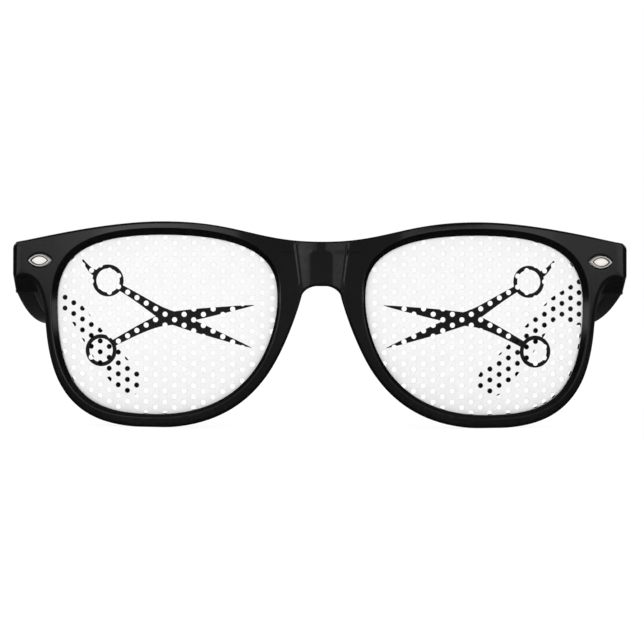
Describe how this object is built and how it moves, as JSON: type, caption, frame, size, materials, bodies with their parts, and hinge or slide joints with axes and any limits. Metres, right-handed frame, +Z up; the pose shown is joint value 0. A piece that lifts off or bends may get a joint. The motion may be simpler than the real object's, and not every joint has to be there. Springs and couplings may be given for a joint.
{
  "type": "novelty glasses",
  "caption": "Retro-shaped novelty glasses: thick glossy black front, clear lenses with perforated white printed film, metal end-piece studs and folding temples.",
  "frame": {"origin": "centre of the glasses in X and Y, on the table plane that the rims and the temple tips stand on", "axes": "+X to the wearer's left, +Y backwards along the temples, +Z up"},
  "size_m": [0.146, 0.1468, 0.0476],
  "materials": {
    "frame_plastic": "polished black",
    "lens_plastic": "clear",
    "film": "white perforated print film with a black print",
    "stud_metal": "bright plated",
    "hinge_steel": "plain"
  },
  "bodies": {
    "front": {"front_frame": "frame_plastic", "lens_left": "lens_plastic", "lens_right": "lens_plastic", "lens_film_left": "film", "lens_film_right": "film", "stud_left": "stud_metal", "stud_right": "stud_metal", "front_hinge_left": "hinge_steel", "front_hinge_right": "hinge_steel", "hinge_screw_left": "hinge_steel", "hinge_screw_right": "hinge_steel", "front_hinge_screws_left": "hinge_steel", "front_hinge_screws_right": "hinge_steel"},
    "left_arm": {"temple_left": "frame_plastic", "temple_hinge_left": "hinge_steel", "temple_hinge_screws_left": "hinge_steel"},
    "right_arm": {"temple_right": "frame_plastic", "temple_hinge_right": "hinge_steel", "temple_hinge_screws_right": "hinge_steel"}
  },
  "joints": [
    {"name": "left_fold", "type": "hinge", "parent": "front", "child": "left_arm", "pos_m": [0.0668, -0.04911, 0.0387], "axis": [0, 0, 1], "range_deg": [0, 85]},
    {"name": "right_fold", "type": "hinge", "parent": "front", "child": "right_arm", "pos_m": [-0.0668, -0.04911, 0.0387], "axis": [0, 0, -1], "range_deg": [0, 78]}
  ]
}
